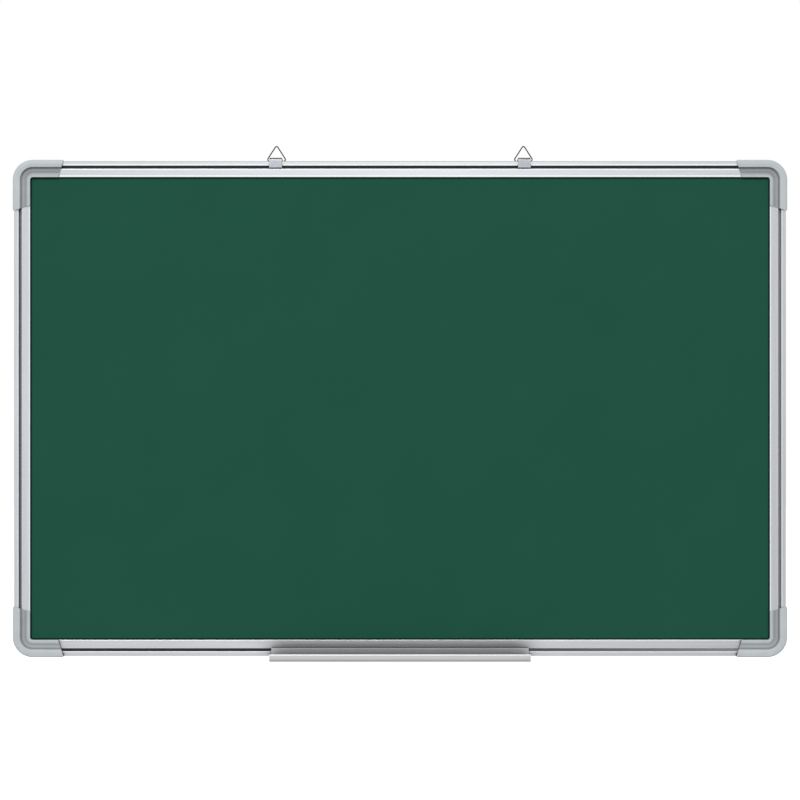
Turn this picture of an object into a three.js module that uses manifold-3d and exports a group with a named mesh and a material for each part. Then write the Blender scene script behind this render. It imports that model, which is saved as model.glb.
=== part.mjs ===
// Wall-hung green chalkboard: a steel-faced board in an aluminium frame with moulded corner caps,
// two sliding wire hangers on the top rail and a chalk tray that slides along the bottom rail.
// Millimetres, +Z up. The writing side faces -Y, and y = 0 is the wall.
// The origin is the middle of the board, on the wall.

import * as THREE from 'three';
import { mergeVertices } from 'three/addons/utils/BufferGeometryUtils.js';
import Module from 'manifold-3d';

// Frame, measured over the rails
const boardWidth = 900;
const boardHeight = 577;

// Rail extrusion, seen in section: rim, clip groove and flange from the outer edge inwards
const rimWidth = 5.5;
const grooveWidth = 3.4;
const flangeWidth = 10.3;
const grooveDepth = 4.1;
const rimLip = 1.6;            // thickness of the lip that the hooks grip from behind
const undercut = 1.4;          // how far the groove widens behind that lip
const flangeThickness = 1.5;
const backLipWidth = 7.5;
const backLipThickness = 1.5;
const extrusionWall = 1.2;
const hangerRecess = 3.5;      // the rim stands this far forward of the rail's back
const rimRound = 1.0;
const grooveRound = 0.45;
const flangeRound = 1.1;
const edgeBreak = 0.4;         // on the small edges of the extrusions

// Writing panel, from the front
const sheetThickness = 0.35;
const coreThickness = 9;
const backingThickness = 0.25;
const glueLine = 0.05;
const panelPlay = 0.2;         // front and back of the panel in the rails
const edgePlay = 0.4;          // all round the panel

// Corner caps
const capSideWall = 1.1;
const capBackWall = 1.4;
const capFit = 0.3;
const capInnerRadius = 2.7;    // round the writing surface's corner
const capReach = 58;           // from the board's corner to the arm's end, at the outer edge
const capSlant = 6.5;          // the arm is this much shorter at its inner edge
const capEndRound = 1.3;
const capBeadWidth = 8.6;      // the raised outer bead
const capBeadRise = 2.7;       // above the rails' front, as are the next two
const capCoveRise = 1.25;      // at the hollow of the inner band
const capLedgeRise = 1.9;      // at the inner edge
const capBeadFall = 0.7;       // the bead is this much lower at its outer side
const capBeadCrest = 3.9;      // the level part of the bead
const capStepDepth = 2;        // the line between bead and band, as are the next three
const capStepWidth = 0.9;
const capStepLean = 0.5;       // of its side towards the bead
const capBandLean = 1.1;       // of its side towards the band
const capCoveWidth = 4.2;      // from the band's start to the middle of its hollow
const capLedgeWidth = 3.6;
const capOuterRound = 2.0;
const capBeadRound = 0.9;
const capLedgeRound = 0.8;
const capBackRound = 1.2;
const capStepRound = 0.3;
const capSoftRound = 3;        // where the front only changes its slope
const railEndMargin = 1.6;     // from the end of the cap's bend to the rail's sawn end
const tongueLength = 22;
const tongueTaper = 0.5;
const tongueTip = 4;

// Screws that hold the rails in the caps
const screwInset = 12.5;       // from the rail's sawn end
const screwHeadRadius = 3.2;
const screwHeadHeight = 1.9;
const screwRadius = 1.4;
const screwPoint = 1.6;
const screwPlay = 0.3;
const headRecess = 2.4;

// Hooks and slides
const runningGap = 0.3;

// Hanger clips: bent sheet steel, with a rolled eye for the ring
const clipAt = 145;            // from the middle of the board
const clipSheet = 0.8;
const clipWidth = 14.8;
const clipTopRise = 2.45;      // top of the front leg over the rail
const archRise = 4.9;          // top of the arch behind it
const archTopWidth = 13.8;
const archFootWidth = 16.2;
const eyeWidth = 12.4;
const backLegGap = 0.5;
const archFootRise = 1.2;
const topBend = 1.3;           // to the middle of the sheet, as is the next
const hookBend = 0.6;
const hookPlay = 0.8;          // under the rim's lip, so that the clip can be tilted off the rail
const eyeTurn = THREE.MathUtils.degToRad(290);

// Hanger rings: bent wire
const wireRadius = 0.7;
const wirePlay = 0.3;
const ringShift = 0.6;         // each ring lies this far towards the board's middle in its eye
const ringPlay = 1.1;          // between the eye's end and the ring's nearer bend
const ringHeight = 17.4;       // from the base to the tip, middle of the wire
const ringCornerRadius = 2.3;
const ringTipRadius = 1.7;
const ringBaseRise = 0.5;      // middle of the base over the rail's edge
const ringEndGap = 0.4;        // between the wire's two ends, inside the eye
const wireSides = 9;

// Chalk tray extrusion
const trayLength = 300;
const trayReach = 55.7;        // in front of the rails
const trayWall = 1.4;
const trayFloor = 1.3;
const trayDrop = 2.1;          // below the rails
const trayLipHeight = 9;
const trayLipWall = 1.7;
const trayBead = 3;            // the thicker round along the lip's top
const trayBeadSlope = 0.5;
const trayHook = 1.8;
const trayPlateRise = 1.6;     // of the back plate, inwards of the hook
const trayRibHeight = 0.8;
const trayRibWidth = 1.6;
const trayRibs = [17, 34];     // from the back plate
const trayCove = 2;
const trayNose = 4.4;
const trayHeel = 1;
const trayBeadRound = 1.3;

const arcStep = THREE.MathUtils.degToRad(20);
const over = 1;                // by which a cutting shape passes what it cuts

// Places worked out from the sizes above. In a section, u runs inwards from the rail's outer edge
// and v runs forwards from the wall.
const grooveEnd = rimWidth + grooveWidth;
const railWidth = grooveEnd + flangeWidth;
const railBack = capBackWall + capFit;
const backLipFront = railBack + backLipThickness;
const backingBack = backLipFront + panelPlay;
const coreBack = backingBack + backingThickness + glueLine;
const sheetBack = coreBack + coreThickness + glueLine;
const panelFront = sheetBack + sheetThickness;
const flangeBack = panelFront + panelPlay;
const railFront = flangeBack + flangeThickness;
const rimBack = railBack + hangerRecess;
const grooveFloor = railFront - grooveDepth;
const lipBack = railFront - rimLip;
const webInner = grooveEnd + extrusionWall;
const panelEdge = webInner + edgePlay;
const bendCentre = railWidth + capInnerRadius;
const railSetback = bendCentre + railEndMargin;
const screwAt = railSetback + screwInset;

const wasm = await Module();
wasm.setup();

// Points on an arc, both ends included.
function arc(x, y, radius, from, to) {
  const count = Math.max(2, Math.ceil(Math.abs(to - from) / arcStep));
  return Array.from({ length: count + 1 }, (_, i) => {
    const angle = from + (to - from) * i / count;
    return new THREE.Vector2(x + radius * Math.cos(angle), y + radius * Math.sin(angle));
  });
}

// The points of an outline given by its corners [x, y, radius], with the round ones as arcs.
// A round takes no more of an edge than it has, or half where the edge has two.
function outline(corners, closed = true) {
  const corner = (i) => corners[(i + corners.length) % corners.length];
  const at = (i) => new THREE.Vector2(...corner(i));
  const room = (i, j) => at(i).distanceTo(at(j)) * (corner(j)[2] ? 0.499 : 0.999);
  return corners.flatMap(([, , radius = 0], i) => {
    const here = at(i);
    const isEnd = !closed && (i === 0 || i === corners.length - 1);
    if (!radius || isEnd) return [here];
    const back = at(i - 1).sub(here).normalize();
    const on = at(i + 1).sub(here).normalize();
    const half = Math.acos(back.dot(on)) / 2;
    const reach = Math.min(radius / Math.tan(half), room(i, i - 1), room(i, i + 1));
    const fitted = reach * Math.tan(half);
    const middle = back.clone().add(on).setLength(fitted / Math.sin(half)).add(here);
    const from = back.multiplyScalar(reach).add(here).sub(middle).angle();
    let turn = on.multiplyScalar(reach).add(here).sub(middle).angle() - from;
    turn -= 2 * Math.PI * Math.round(turn / (2 * Math.PI));
    return arc(middle.x, middle.y, fitted, from, from + turn);
  });
}

// The outline of a sheet of even thickness that follows a line of points.
function sheetOutline(points, thickness) {
  const side = (sign) => points.map((point, i) => {
    const before = points[Math.max(i - 1, 0)];
    const after = points[Math.min(i + 1, points.length - 1)];
    const back = point === before ? after.clone().sub(point) : point.clone().sub(before);
    const on = point === after ? back : after.clone().sub(point);
    const mean = back.clone().normalize().add(on.clone().normalize()).normalize();
    const offset = sign * thickness / 2 / mean.dot(on.clone().normalize());
    return new THREE.Vector2(point.x - mean.y * offset, point.y + mean.x * offset);
  });
  return [...side(1), ...side(-1).reverse()];
}

function prism(points, length, holes = []) {
  const shape = new THREE.Shape(points);
  shape.holes = holes.map((hole) => new THREE.Path(hole));
  return new THREE.ExtrudeGeometry(shape, { depth: length, bevelEnabled: false });
}

// A path given by its stations: where the section stands, and which way it points there.
class StationPath extends THREE.Curve {
  constructor(stations) {
    super();
    this.stations = stations;
  }
  getPoint(t) {
    return this.stations[Math.round(t * (this.stations.length - 1))].at.clone();
  }
  getPointAt(u) {
    return this.getPoint(u);
  }
  computeFrenetFrames() {
    const normals = this.stations.map((station) => station.x);
    const binormals = this.stations.map((station) => station.y);
    const tangents = normals.map((normal, i) => normal.clone().cross(binormals[i]));
    return { tangents, normals, binormals };
  }
}

function sweep(points, stations) {
  const steps = stations.length - 1;
  const extrudePath = new StationPath(stations);
  return new THREE.ExtrudeGeometry(new THREE.Shape(points), { steps, extrudePath });
}

// Lays a geometry on new axes.
function onAxes(geometry, x, y, z, origin = [0, 0, 0]) {
  const matrix = new THREE.Matrix4().makeBasis(
    new THREE.Vector3(...x), new THREE.Vector3(...y), new THREE.Vector3(...z));
  return geometry.applyMatrix4(matrix.setPosition(...origin));
}

function toSolid(geometry) {
  const bare = new THREE.BufferGeometry();
  bare.setAttribute('position', geometry.getAttribute('position'));
  bare.setIndex(geometry.getIndex());
  const merged = mergeVertices(bare, 1e-5);
  return new wasm.Manifold(new wasm.Mesh({
    numProp: 3,
    vertProperties: merged.getAttribute('position').array,
    triVerts: Uint32Array.from(merged.getIndex().array),
  }));
}

function toGeometry(solid) {
  const mesh = solid.getMesh();
  const geometry = new THREE.BufferGeometry();
  geometry.setAttribute('position', new THREE.BufferAttribute(mesh.vertProperties, 3));
  geometry.setIndex(new THREE.BufferAttribute(mesh.triVerts, 1));
  const flat = geometry.toNonIndexed();
  flat.computeVertexNormals();
  return flat;
}

// A cylinder along the section's v axis, from v0 to v1, at a place across and along the rail.
function drill(u, along, radius, v0, v1) {
  const cylinder = new THREE.CylinderGeometry(radius, radius, v1 - v0, 20);
  return cylinder.translate(u, (v0 + v1) / 2, along);
}

const chamberMiddle = grooveEnd / 2;
const chamberBack = rimBack + extrusionWall;
const chamberFront = grooveFloor - extrusionWall;
const chamberInner = grooveEnd - extrusionWall;

// One length of frame extrusion, with the hole that its screw passes at each end.
function rail(outerLength) {
  const length = outerLength - 2 * railSetback;
  const section = outline([
    [0, rimBack, edgeBreak],
    [grooveEnd, rimBack],
    [grooveEnd, railBack, edgeBreak],
    [grooveEnd + backLipWidth, railBack, edgeBreak],
    [grooveEnd + backLipWidth, backLipFront, edgeBreak],
    [webInner, backLipFront],
    [webInner, flangeBack],
    [railWidth, flangeBack],
    [railWidth, railFront, flangeRound],
    [grooveEnd, railFront, grooveRound],
    [grooveEnd, grooveFloor],
    [rimWidth - undercut, grooveFloor],
    [rimWidth - undercut, lipBack],
    [rimWidth, lipBack],
    [rimWidth, railFront, grooveRound],
    [0, railFront, rimRound],
  ]);
  const slotEnd = rimWidth - undercut - extrusionWall;
  const chamber = outline([
    [extrusionWall, chamberBack],
    [chamberInner, chamberBack],
    [chamberInner, chamberFront],
    [slotEnd, chamberFront],
    [slotEnd, railFront - extrusionWall],
    [extrusionWall, railFront - extrusionWall],
  ]);
  let bar = toSolid(prism(section, length, [chamber]));
  for (const along of [screwAt - railSetback, length - screwAt + railSetback]) {
    const holeRadius = screwRadius + screwPlay;
    const hole = drill(chamberMiddle, along, holeRadius, railBack, chamberBack + over);
    bar = bar.subtract(toSolid(hole));
  }
  return toGeometry(bar).translate(0, 0, -length / 2);
}

// The cap's section is swept down one arm, round the corner and along the other.
// p and q run inwards from the board's two outer edges, v forwards from the wall.
function capBody() {
  const outer = -capSideWall - capFit;
  const beadEnd = outer + capBeadWidth;
  const beadFront = railFront + capBeadRise;
  const stepFloor = beadFront - capStepDepth;
  const stepStart = beadEnd + capStepLean;
  const stepEnd = stepStart + capStepWidth;
  const bandStart = stepEnd + capBandLean;
  const coveFront = railFront + capCoveRise;
  const ledgeFront = railFront + capLedgeRise;
  const backEnd = grooveEnd + backLipWidth + capFit + capSideWall;
  const section = outline([
    [outer, 0, capBackRound],
    [backEnd, 0, capBackRound],
    [backEnd, backLipFront],
    [panelEdge - capFit, backLipFront],
    [panelEdge - capFit, flangeBack],
    [railWidth, flangeBack],
    [railWidth, ledgeFront, capLedgeRound],
    [railWidth - capLedgeWidth, ledgeFront, capSoftRound],
    [bandStart + capCoveWidth, coveFront, capSoftRound],
    [bandStart, coveFront, capStepRound],
    [stepEnd, stepFloor, capStepRound],
    [stepStart, stepFloor, capStepRound],
    [beadEnd, beadFront, capBeadRound],
    [beadEnd - capBeadCrest, beadFront, capSoftRound],
    [outer, beadFront - capBeadFall, capOuterRound],
  ]);
  const station = (p, q, angle) => ({
    at: new THREE.Vector3(p, q, 0),
    x: new THREE.Vector3(Math.cos(angle), Math.sin(angle), 0),
    y: new THREE.Vector3(0, 0, 1),
  });
  const bend = arc(bendCentre, bendCentre, bendCentre, Math.PI, 1.5 * Math.PI);
  const far = capReach + over;
  const stations = [
    station(0, far, 0),
    ...bend.map(({ x, y }, i) => station(x, y, Math.PI / 2 * i / (bend.length - 1))),
    station(far, 0, Math.PI / 2),
  ];
  const innerReach = capReach - capSlant;
  const ends = outline([
    [outer, outer],
    [capReach, outer, capEndRound],
    [innerReach, railWidth],
    [innerReach, bendCentre],
    [bendCentre, bendCentre],
    [bendCentre, innerReach],
    [railWidth, innerReach],
    [outer, capReach, capEndRound],
  ]);
  return toSolid(sweep(section, stations)).intersect(toSolid(prism(ends, beadFront + over)));
}

// What the cap leaves free for a rail. The rib that enters the clip groove stays standing.
function railRoom() {
  const lipEnd = grooveEnd + backLipWidth + capFit;
  const beyond = railWidth + capFit;
  const skin = railFront + capFit;
  return prism(outline([
    [-capFit, rimBack - capFit],
    [grooveEnd - capFit, rimBack - capFit],
    [grooveEnd - capFit, railBack - capFit],
    [lipEnd, railBack - capFit],
    [lipEnd, backingBack],
    [beyond, backingBack],
    [beyond, skin],
    [grooveEnd - capFit, skin],
    [grooveEnd - capFit, lipBack],
    [rimWidth + capFit, lipBack],
    [rimWidth + capFit, skin],
    [-capFit, skin],
  ]), capReach);
}

// The tongue that plugs into the rail's chamber, with a tapered tip.
function tongue() {
  const start = railSetback - 2 * capFit;
  const end = railSetback + tongueLength;
  const [low, high] = [extrusionWall + capFit, chamberInner - capFit];
  const plan = outline([
    [start, low],
    [end - tongueTip, low],
    [end, low + tongueTaper, edgeBreak],
    [end, high - tongueTaper, edgeBreak],
    [end - tongueTip, high],
    [start, high],
  ]);
  const depth = chamberFront - chamberBack - 2 * capFit;
  return prism(plan, depth).translate(0, 0, chamberBack + capFit);
}

// The same piece with p and q exchanged, for the cap's other arm.
function exchanged(geometry) {
  const flat = geometry.index ? geometry.toNonIndexed() : geometry.clone();
  const position = flat.getAttribute('position');
  const corners = Array.from({ length: position.count }, (_, i) =>
    new THREE.Vector3(position.getY(i), position.getX(i), position.getZ(i)));
  for (let i = 0; i < corners.length; i += 3) corners.push(...corners.splice(0, 3).reverse());
  return new THREE.BufferGeometry().setFromPoints(corners);
}

function cornerCap() {
  const span = capReach + over;
  const pocket = new THREE.BoxGeometry(span, span, flangeBack - backLipFront);
  const middle = panelEdge - capFit + span / 2;
  pocket.translate(middle, middle, (flangeBack + backLipFront) / 2);
  let cap = capBody().subtract(toSolid(pocket));

  const holeRadius = screwRadius + screwPlay;
  const headHole = screwHeadRadius + screwPlay;
  const alongArm = (geometry) => onAxes(geometry, [0, 1, 0], [0, 0, 1], [1, 0, 0]);
  const room = alongArm(railRoom().translate(0, 0, railSetback - capFit));
  const hole = alongArm(drill(chamberMiddle, screwAt, holeRadius, -over, chamberFront));
  const recess = alongArm(drill(chamberMiddle, screwAt, headHole, -over, headRecess));
  for (const lay of [(geometry) => geometry, exchanged]) {
    cap = cap.subtract(toSolid(lay(room))).add(toSolid(lay(tongue())));
    cap = cap.subtract(toSolid(lay(hole))).subtract(toSolid(lay(recess)));
  }
  return toGeometry(cap);
}

// A pan-head screw, driven forwards through the cap and the rail into the tongue.
function cornerScrew() {
  const tip = chamberFront - screwPlay;
  const dome = arc(0, 0, 1, Math.PI / 2, 0).map(({ x, y }) =>
    [screwHeadRadius * x, headRecess - screwHeadHeight * y]);
  const profile = [
    ...dome,
    [screwRadius, headRecess],
    [screwRadius, tip - screwPoint],
    [0, tip],
  ].map(([radius, v]) => new THREE.Vector2(radius, v));
  const screw = new THREE.LatheGeometry(profile, 14);
  return onAxes(screw, [1, 0, 0], [0, 0, 1], [0, -1, 0]);
}

// The hanger clip: a strip that hooks into the groove, passes over the rim, rises to an arch
// behind it and ends in a rolled eye.
const legMiddle = rimBack - backLegGap - clipSheet / 2;
const eyeRadius = wireRadius + wirePlay + clipSheet / 2;
const eyeMiddle = legMiddle - eyeRadius;
const hookTip = rimWidth - undercut + runningGap;

function hangerClip() {
  const frontMiddle = railFront + runningGap + clipSheet / 2;
  const hookMiddle = rimWidth + hookPlay + clipSheet / 2;
  const barbMiddle = lipBack - runningGap - clipSheet / 2;
  const line = [
    ...outline([
      [hookTip, barbMiddle],
      [hookMiddle, barbMiddle, hookBend],
      [hookMiddle, frontMiddle, hookBend],
      [clipSheet / 2 - clipTopRise, frontMiddle, topBend],
      [-archRise, legMiddle, topBend],
      [-ringBaseRise, legMiddle],
    ], false),
    ...arc(-ringBaseRise, eyeMiddle, eyeRadius, Math.PI / 2, Math.PI / 2 - eyeTurn).slice(1),
  ];
  const strip = prism(sheetOutline(line, clipSheet), archFootWidth);
  strip.translate(0, 0, -archFootWidth / 2);

  // The flat blank's widths: the front leg, the arch, and the narrower eye
  const legBack = legMiddle - clipSheet / 2;
  const archFront = (rimBack + railFront) / 2;
  const reach = 2 * rimWidth;
  const block = (width, u0, u1, v0, v1) => new THREE.BoxGeometry(u1 - u0, v1 - v0, width)
    .translate((u0 + u1) / 2, (v0 + v1) / 2, 0);
  const archShape = [
    [-archRise - over, -archTopWidth / 2],
    [-archRise - over, archTopWidth / 2],
    [-archRise, archTopWidth / 2],
    [-archFootRise, archFootWidth / 2],
    [-archFootRise, -archFootWidth / 2],
    [-archRise, -archTopWidth / 2],
  ].map((point) => new THREE.Vector2(...point));
  const arch = prism(archShape, archFront - legBack);
  onAxes(arch, [1, 0, 0], [0, 0, -1], [0, 1, 0], [0, legBack, 0]);
  const lap = clipSheet / 2;
  const blank = toSolid(block(clipWidth, -reach, reach, archFront - lap, frontMiddle + reach))
    .add(toSolid(arch))
    .add(toSolid(block(eyeWidth, -reach, reach, 0, archFront + lap)));
  return toGeometry(toSolid(strip).intersect(blank));
}

// The ring: one bent wire whose two ends meet inside the eye.
function hangerRing() {
  const cornerAt = eyeWidth / 2 + ringShift + ringPlay;
  const tipAt = ringHeight - ringTipRadius;
  const rise = tipAt - ringCornerRadius;
  const lean = Math.atan2(rise, -cornerAt)
    - Math.acos((ringCornerRadius - ringTipRadius) / Math.hypot(cornerAt, rise));
  const station = ({ x, y }, angle) => ({
    at: new THREE.Vector3(-ringBaseRise - y, eyeMiddle, x),
    x: new THREE.Vector3(-Math.sin(angle), 0, Math.cos(angle)),
    y: new THREE.Vector3(0, 1, 0),
  });
  const bend = (x, y, radius, from, to) => {
    const points = arc(x, y, radius, from, to);
    return points.map((point, i) => station(point, from + (to - from) * i / (points.length - 1)));
  };
  const down = -Math.PI / 2;
  const stations = [
    station(new THREE.Vector2(ringEndGap / 2, 0), down),
    ...bend(cornerAt, ringCornerRadius, ringCornerRadius, down, lean),
    ...bend(0, tipAt, ringTipRadius, lean, Math.PI - lean),
    ...bend(-cornerAt, ringCornerRadius, ringCornerRadius, Math.PI - lean, 3 * Math.PI / 2),
    station(new THREE.Vector2(-ringEndGap / 2, 0), down),
  ];
  const wire = Array.from({ length: wireSides }, (_, i) => {
    const angle = 2 * Math.PI * i / wireSides;
    return new THREE.Vector2(wireRadius * Math.cos(angle), wireRadius * Math.sin(angle));
  });
  return sweep(wire, stations);
}

// The chalk tray: a hook for the groove, a back plate, a ribbed floor and a rounded front lip.
function chalkTray() {
  const plateBack = railFront + runningGap;
  const plateFront = plateBack + trayWall;
  const floorTop = trayFloor - trayDrop;
  const lipFront = railFront + trayReach;
  const lipTop = trayLipHeight - trayDrop;
  const beadFoot = lipTop - trayBead;
  const hookLow = rimWidth + runningGap;
  const hookHigh = hookLow + trayHook;
  const plateTop = hookHigh + trayPlateRise;
  const barbFront = lipBack - runningGap;
  const barbBack = grooveFloor + runningGap;
  const ribs = trayRibs.flatMap((distance) => [
    [floorTop, plateFront + distance - trayRibWidth / 2],
    [floorTop + trayRibHeight, plateFront + distance - trayRibWidth / 4, edgeBreak],
    [floorTop + trayRibHeight, plateFront + distance + trayRibWidth / 4, edgeBreak],
    [floorTop, plateFront + distance + trayRibWidth / 2],
  ]);
  const section = outline([
    [hookTip, barbBack, edgeBreak],
    [hookHigh, barbBack, edgeBreak],
    [hookHigh, plateBack],
    [plateTop, plateBack, edgeBreak],
    [plateTop, plateFront, edgeBreak],
    [floorTop, plateFront, trayCove],
    ...ribs,
    [floorTop, lipFront - trayLipWall, trayCove],
    [beadFoot, lipFront - trayLipWall, edgeBreak],
    [beadFoot + trayBeadSlope, lipFront - trayBead, edgeBreak],
    [lipTop, lipFront - trayBead, trayBeadRound],
    [lipTop, lipFront, trayBeadRound],
    [-trayDrop, lipFront, trayNose],
    [-trayDrop, plateBack, trayHeel],
    [hookLow, plateBack],
    [hookLow, barbFront],
    [hookTip, barbFront, edgeBreak],
  ]);
  return prism(section, trayLength).translate(0, 0, -trayLength / 2);
}

// Materials
const finish = (color, roughness, metalness) =>
  new THREE.MeshStandardMaterial({ color, roughness, metalness });
const chalkSurface = finish('#235142', 0.75, 0);
const honeycomb = finish('#b79a6e', 0.9, 0);
const galvanised = finish('#a9adae', 0.45, 0.9);
const anodised = finish('#d2d4d8', 0.35, 0.85);
const greyPlastic = finish('#bec4c6', 0.5, 0);
const zincPlated = finish('#b9bcc0', 0.35, 0.9);
const clipSteel = finish('#c0c3ca', 0.4, 0.6);
const wireSteel = finish('#6b6d70', 0.35, 0.9);

// Assembly
const board = new THREE.Group();

function place(name, geometry, material, parent = board) {
  const mesh = new THREE.Mesh(geometry, material);
  mesh.name = name;
  parent.add(mesh);
  return mesh;
}

function layer(name, back, thickness, material) {
  const width = boardWidth - 2 * panelEdge;
  const height = boardHeight - 2 * panelEdge;
  const mesh = place(name, new THREE.BoxGeometry(width, thickness, height), material);
  mesh.position.y = -back - thickness / 2;
}

layer('writing_sheet', sheetBack, sheetThickness, chalkSurface);
layer('core_board', coreBack, coreThickness, honeycomb);
layer('backing_sheet', backingBack, backingThickness, galvanised);

// The four sides of the frame: inwards from the outer edge, and along the rail
const sides = {
  top: { inward: [0, 0, -1], along: [-1, 0, 0], outside: boardHeight, length: boardWidth },
  bottom: { inward: [0, 0, 1], along: [1, 0, 0], outside: boardHeight, length: boardWidth },
  left: { inward: [1, 0, 0], along: [0, 0, -1], outside: boardWidth, length: boardHeight },
  right: { inward: [-1, 0, 0], along: [0, 0, 1], outside: boardWidth, length: boardHeight },
};

function onSide(geometry, { inward, along, outside }) {
  const origin = inward.map((part) => -part * outside / 2);
  return onAxes(geometry, inward, [0, -1, 0], along, origin);
}

for (const [name, side] of Object.entries(sides)) {
  place(`rail_${name}`, onSide(rail(side.length), side), anodised);
}

// The four corners: the directions of p and q there, which turn with the corner
const corners = {
  top_left: { p: [0, 0, -1], q: [1, 0, 0], at: [-1, 1], arms: ['side', 'top'] },
  top_right: { p: [-1, 0, 0], q: [0, 0, -1], at: [1, 1], arms: ['top', 'side'] },
  bottom_left: { p: [1, 0, 0], q: [0, 0, 1], at: [-1, -1], arms: ['bottom', 'side'] },
  bottom_right: { p: [0, 0, 1], q: [-1, 0, 0], at: [1, -1], arms: ['side', 'bottom'] },
};
const cap = cornerCap();
const screw = cornerScrew();
const screwPlaces = [[screwAt, chamberMiddle], [chamberMiddle, screwAt]];

for (const [name, { p, q, at, arms }] of Object.entries(corners)) {
  const origin = [at[0] * boardWidth / 2, 0, at[1] * boardHeight / 2];
  const inCorner = (geometry) => onAxes(geometry.clone(), p, q, [0, -1, 0], origin);
  place(`corner_cap_${name}`, inCorner(cap), greyPlastic);
  for (const [i, [x, y]] of screwPlaces.entries()) {
    const driven = inCorner(screw.clone().translate(x, y, 0));
    place(`screw_${name}_${arms[i]}`, driven, zincPlated);
  }
}

// The two hangers stand on the top rail, each ring drawn a little towards the middle
const clip = onSide(hangerClip(), sides.top);
const ring = onSide(hangerRing(), sides.top);
for (const [name, way] of [['left', -1], ['right', 1]]) {
  const hanger = new THREE.Group();
  hanger.position.x = way * clipAt;
  place(`hanger_clip_${name}`, clip.clone(), clipSteel, hanger);
  place(`hanger_ring_${name}`, ring.clone(), wireSteel, hanger).position.x = -way * ringShift;
  board.add(hanger);
}

place('chalk_tray', onSide(chalkTray(), sides.bottom), anodised);

export default board;
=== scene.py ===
import bmesh
import bpy
import math
from mathutils import Matrix, Vector


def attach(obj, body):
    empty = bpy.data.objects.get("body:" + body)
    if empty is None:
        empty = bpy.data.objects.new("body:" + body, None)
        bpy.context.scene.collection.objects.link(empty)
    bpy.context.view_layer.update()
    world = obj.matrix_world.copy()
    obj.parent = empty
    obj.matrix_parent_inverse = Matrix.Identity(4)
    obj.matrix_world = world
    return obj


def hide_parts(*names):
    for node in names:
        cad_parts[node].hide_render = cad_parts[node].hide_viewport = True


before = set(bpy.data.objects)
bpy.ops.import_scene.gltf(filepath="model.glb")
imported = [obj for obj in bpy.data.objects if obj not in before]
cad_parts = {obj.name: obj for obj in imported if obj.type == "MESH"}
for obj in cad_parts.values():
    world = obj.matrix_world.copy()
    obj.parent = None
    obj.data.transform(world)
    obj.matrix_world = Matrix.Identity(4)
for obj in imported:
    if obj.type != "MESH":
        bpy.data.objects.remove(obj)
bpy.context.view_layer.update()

# The pieces are drawn in millimetres: u runs inwards from a rail's outer edge, v forwards from the wall
mm = 0.001
board = {
    "width": 900,
    "height": 577,
    "railWidth": 19.2,
    "railFront": 14.8,
    "bendCentre": 21.9,      # of the corner caps' bend, from both outer edges
    "screwAt": 36,           # along each rail, from the corner
    "screwAcross": 4.45,
}
halfWidth, halfHeight = board["width"] / 2, board["height"] / 2


def placeOn(x, y, z, origin):
    turn = Matrix((x, y, z)).transposed().to_4x4()
    return Matrix.Translation(Vector(origin) * mm) @ turn @ Matrix.Scale(mm, 4)


forward = (0, -1, 0)
sidePlace = {
    "top": placeOn((0, 0, -1), forward, (-1, 0, 0), (0, 0, halfHeight)),
    "bottom": placeOn((0, 0, 1), forward, (1, 0, 0), (0, 0, -halfHeight)),
    "left": placeOn((1, 0, 0), forward, (0, 0, -1), (-halfWidth, 0, 0)),
    "right": placeOn((-1, 0, 0), forward, (0, 0, 1), (halfWidth, 0, 0)),
}
cornerPlace = {
    "top_left": placeOn((0, 0, -1), (1, 0, 0), forward, (-halfWidth, 0, halfHeight)),
    "top_right": placeOn((-1, 0, 0), (0, 0, -1), forward, (halfWidth, 0, halfHeight)),
    "bottom_left": placeOn((1, 0, 0), (0, 0, 1), forward, (-halfWidth, 0, -halfHeight)),
    "bottom_right": placeOn((0, 0, 1), (-1, 0, 0), forward, (halfWidth, 0, -halfHeight)),
}


# A face drawn by its corners [u, v, radius], each round one made with a vertex bevel. A round takes no
# more of an edge than it has, or half where both its ends are round, and stops a hair short of that.
def sectionFace(corners, segments=6):
    wholeEdge, halfEdge = 0.999, 0.499
    mesh = bmesh.new()
    verts = [mesh.verts.new((corner[0], corner[1], 0)) for corner in corners]
    points = [vert.co.copy() for vert in verts]
    rounds = [corner[2] if len(corner) > 2 else 0 for corner in corners]
    mesh.faces.new(verts)
    for i, radius in enumerate(rounds):
        if not radius:
            continue
        before, after = i - 1, (i + 1) % len(corners)
        back, on = points[before] - points[i], points[after] - points[i]
        room = [edge.length * (halfEdge if rounds[j] else wholeEdge)
                for edge, j in ((back, before), (on, after))]
        reach = min(radius / math.tan(back.angle(on) / 2), *room)
        bmesh.ops.bevel(mesh, geom=[verts[i]], offset=reach, offset_type="OFFSET", affect="VERTICES",
                        segments=segments, profile=0.5, material=-1, clamp_overlap=False)
    return mesh


def kept(geometry, kind):
    return [part for part in geometry if isinstance(part, kind)]


# A prism with this section, and with a hole through it where one is given
def bar(corners, start, end, hole=None, segments=6):
    mesh = sectionFace(corners, segments)
    if hole:
        inner = bpy.data.meshes.new("hole")
        sectionFace(hole, segments).to_mesh(inner)
        mesh.from_mesh(inner)
        bpy.data.meshes.remove(inner)
        bmesh.ops.delete(mesh, geom=mesh.faces[:], context="FACES_ONLY")
        bmesh.ops.triangle_fill(mesh, use_beauty=True, use_dissolve=False, edges=mesh.edges[:])
    bmesh.ops.translate(mesh, verts=mesh.verts, vec=(0, 0, start))
    made = bmesh.ops.extrude_face_region(mesh, geom=mesh.faces[:])["geom"]
    bmesh.ops.translate(mesh, verts=kept(made, bmesh.types.BMVert), vec=(0, 0, end - start))
    return mesh


# Draws a loop of edges on by a straight length, and returns the new loop
def drawn(mesh, edges, vec):
    made = bmesh.ops.extrude_edge_only(mesh, edges=edges)["geom"]
    bmesh.ops.translate(mesh, verts=kept(made, bmesh.types.BMVert), vec=vec)
    return kept(made, bmesh.types.BMEdge)


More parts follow.
